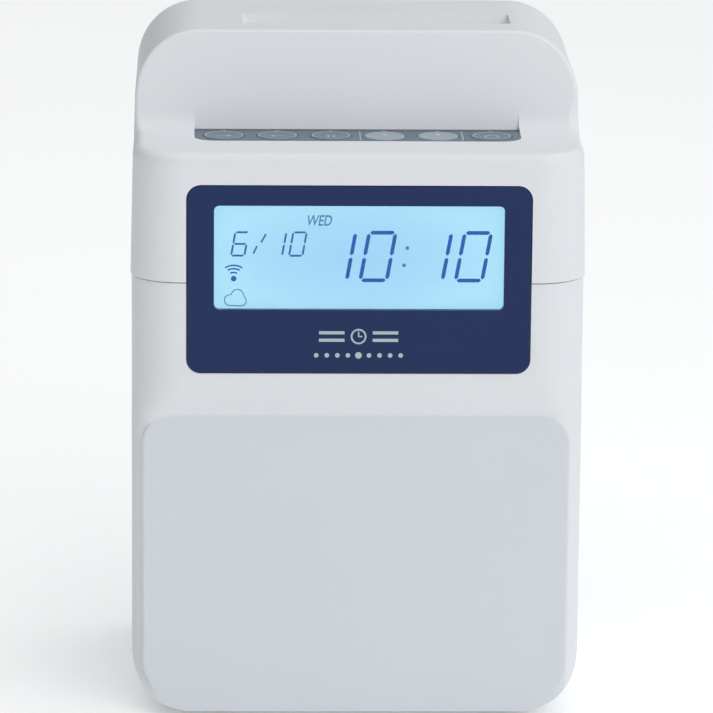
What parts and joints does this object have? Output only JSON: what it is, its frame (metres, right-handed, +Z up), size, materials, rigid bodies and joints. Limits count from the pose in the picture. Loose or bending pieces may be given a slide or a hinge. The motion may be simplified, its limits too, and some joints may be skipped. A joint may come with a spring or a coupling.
{
  "type": "punch time clock",
  "caption": "Desktop punch time clock: two-storey plastic housing with a hinged lockable cover, card slot, row of push buttons, wide display and card feed and print mechanism inside.",
  "frame": {"origin": "on the table, under the middle of the housing footprint", "axes": "+Z up, -Y towards the user (display side), +X to the user's right"},
  "size_m": [0.1558, 0.12, 0.2325],
  "materials": {
    "case_plastic": "fine matte light grey",
    "cover_plastic": "fine matte light grey",
    "bezel_plastic": "smooth navy",
    "lens": "clear",
    "lcd_glass": "light blue display face",
    "key_sheet": "matte slate blue-grey film",
    "key_white": "slate grey with a light printed ring",
    "key_grey": "light grey",
    "rubber": "matte",
    "rubber_black": "matte",
    "steel": "bright",
    "zinc": "plated",
    "zinc_steel": "zinc plated sheet",
    "jack_steel": "plated",
    "brass": "plain",
    "head_aluminium": "dark anodised",
    "circuit_board": "green solder mask",
    "chip_plastic": "moulded",
    "black_plastic": "moulded",
    "dark_plastic": "moulded",
    "white_plastic": "acetal",
    "knob_plastic": "blue moulded",
    "ribbon_fabric": "inked nylon",
    "battery_sleeve": "blue shrink film"
  },
  "bodies": {
    "housing": {"backup_battery": "battery_sleeve", "card_sensors": "black_plastic", "carriage_belt": "rubber_black", "carriage_drive_bridge": "zinc_steel", "carriage_guide_shaft": "steel", "carriage_motor": "zinc_steel", "case_screws": "steel", "chassis": "zinc_steel", "cover_hinge_pins": "steel", "data_jacks": "jack_steel", "dc_jack": "black_plastic", "display_bezel": "bezel_plastic", "display_board": "circuit_board", "display_board_parts": "chip_plastic", "display_holder": "white_plastic", "display_lens": "lens", "feed_belt": "rubber_black", "feed_motor": "zinc_steel", "ink_ribbon": "ribbon_fabric", "lcd_panel": "lcd_glass", "lock_sleeve": "zinc", "lower_card_chute": "dark_plastic", "lower_case": "case_plastic", "main_board": "circuit_board", "main_board_parts": "chip_plastic", "platen_bar": "rubber_black", "rear_case": "case_plastic", "ribbon_cassette": "black_plastic", "rubber_feet": "rubber", "shaft_bushes": "brass", "upper_card_chute": "dark_plastic"},
    "cover": {"top_cover": "cover_plastic", "key_sheet": "key_sheet", "key_board": "circuit_board", "key_switches": "black_plastic", "lock_catch": "steel"},
    "lock": {"lock_barrel": "zinc", "lock_cam": "steel"},
    "lower_feed": {"lower_feed_shaft": "steel", "lower_feed_rollers": "rubber_black", "lower_feed_gear": "white_plastic", "lower_feed_pulley": "white_plastic"},
    "upper_feed": {"upper_feed_shaft": "steel", "upper_feed_rollers": "rubber_black", "upper_feed_pulley": "white_plastic"},
    "idler": {"idler_gear": "white_plastic"},
    "pinion": {"feed_pinion": "brass"},
    "lower_pinch": {"lower_pinch_rollers": "white_plastic"},
    "upper_pinch": {"upper_pinch_rollers": "white_plastic"},
    "print_carriage": {"carriage": "black_plastic", "print_head": "head_aluminium"},
    "drive_pulley": {"carriage_drive_pulley": "white_plastic"},
    "tension_pulley": {"carriage_idler_pulley": "white_plastic"},
    "ribbon_winder": {"ribbon_knob": "knob_plastic"},
    "key_1": {"key_button_1": "key_white"},
    "key_2": {"key_button_2": "key_white"},
    "key_3": {"key_button_3": "key_white"},
    "key_4": {"key_button_4": "key_grey"},
    "key_5": {"key_button_5": "key_grey"},
    "key_6": {"key_button_6": "key_white"}
  },
  "joints": [
    {"name": "cover_hinge", "type": "hinge", "parent": "housing", "child": "cover", "pos_m": [0, 0.0566, 0.1587], "axis": [-1, 0, 0], "range_deg": [0, 70]},
    {"name": "lock_turn", "type": "hinge", "parent": "housing", "child": "lock", "pos_m": [-0.0775, -0.011, 0.1385], "axis": [1, 0, 0], "range_deg": [0, 90]},
    {"name": "lower_feed_spin", "type": "hinge", "parent": "housing", "child": "lower_feed", "pos_m": [0.007, 0.0214, 0.135], "axis": [1, 0, 0], "continuous": true},
    {"name": "upper_feed_spin", "type": "hinge", "parent": "housing", "child": "upper_feed", "pos_m": [0.007, 0.0214, 0.189], "axis": [1, 0, 0], "continuous": true},
    {"name": "idler_spin", "type": "hinge", "parent": "housing", "child": "idler", "pos_m": [-0.0566, 0.03459, 0.11019], "axis": [1, 0, 0], "continuous": true},
    {"name": "pinion_spin", "type": "hinge", "parent": "housing", "child": "pinion", "pos_m": [-0.0566, 0.03459, 0.08929], "axis": [1, 0, 0], "continuous": true},
    {"name": "lower_pinch_spin", "type": "hinge", "parent": "housing", "child": "lower_pinch", "pos_m": [0.007, 0.0078, 0.135], "axis": [1, 0, 0], "continuous": true},
    {"name": "upper_pinch_spin", "type": "hinge", "parent": "housing", "child": "upper_pinch", "pos_m": [0.007, 0.0078, 0.189], "axis": [1, 0, 0], "continuous": true},
    {"name": "carriage_slide", "type": "slide", "parent": "housing", "child": "print_carriage", "axis": [1, 0, 0], "range_m": [-0.03, 0.03]},
    {"name": "drive_pulley_spin", "type": "hinge", "parent": "housing", "child": "drive_pulley", "pos_m": [-0.043, -0.026, 0.1345], "axis": [0, 0, 1], "range_deg": [-290, 290]},
    {"name": "tension_pulley_spin", "type": "hinge", "parent": "housing", "child": "tension_pulley", "pos_m": [0.057, -0.026, 0.1345], "axis": [0, 0, 1], "range_deg": [-290, 290]},
    {"name": "ribbon_wind", "type": "hinge", "parent": "housing", "child": "ribbon_winder", "pos_m": [-0.03, -0.034, 0.1705], "axis": [0, 0, 1], "continuous": true},
    {"name": "key_1_press", "type": "slide", "parent": "cover", "child": "key_1", "axis": [0, 0, -1], "range_m": [0, 0.0008], "stiffness_N_per_m": 500, "springref_m": -0.0006},
    {"name": "key_2_press", "type": "slide", "parent": "cover", "child": "key_2", "axis": [0, 0, -1], "range_m": [0, 0.0008], "stiffness_N_per_m": 500, "springref_m": -0.0006},
    {"name": "key_3_press", "type": "slide", "parent": "cover", "child": "key_3", "axis": [0, 0, -1], "range_m": [0, 0.0008], "stiffness_N_per_m": 500, "springref_m": -0.0006},
    {"name": "key_4_press", "type": "slide", "parent": "cover", "child": "key_4", "axis": [0, 0, -1], "range_m": [0, 0.0008], "stiffness_N_per_m": 500, "springref_m": -0.0006},
    {"name": "key_5_press", "type": "slide", "parent": "cover", "child": "key_5", "axis": [0, 0, -1], "range_m": [0, 0.0008], "stiffness_N_per_m": 500, "springref_m": -0.0006},
    {"name": "key_6_press", "type": "slide", "parent": "cover", "child": "key_6", "axis": [0, 0, -1], "range_m": [0, 0.0008], "stiffness_N_per_m": 500, "springref_m": -0.0006}
  ],
  "couplings": [
    {"joint": "upper_feed_spin", "follows": "lower_feed_spin", "ratio": 1},
    {"joint": "idler_spin", "follows": "lower_feed_spin", "ratio": -0.75},
    {"joint": "pinion_spin", "follows": "lower_feed_spin", "ratio": 2.5},
    {"joint": "lower_pinch_spin", "follows": "lower_feed_spin", "ratio": -1.6},
    {"joint": "upper_pinch_spin", "follows": "lower_feed_spin", "ratio": -1.6},
    {"joint": "drive_pulley_spin", "follows": "carriage_slide", "rad_per_m": -166.67},
    {"joint": "tension_pulley_spin", "follows": "carriage_slide", "rad_per_m": -166.67}
  ]
}
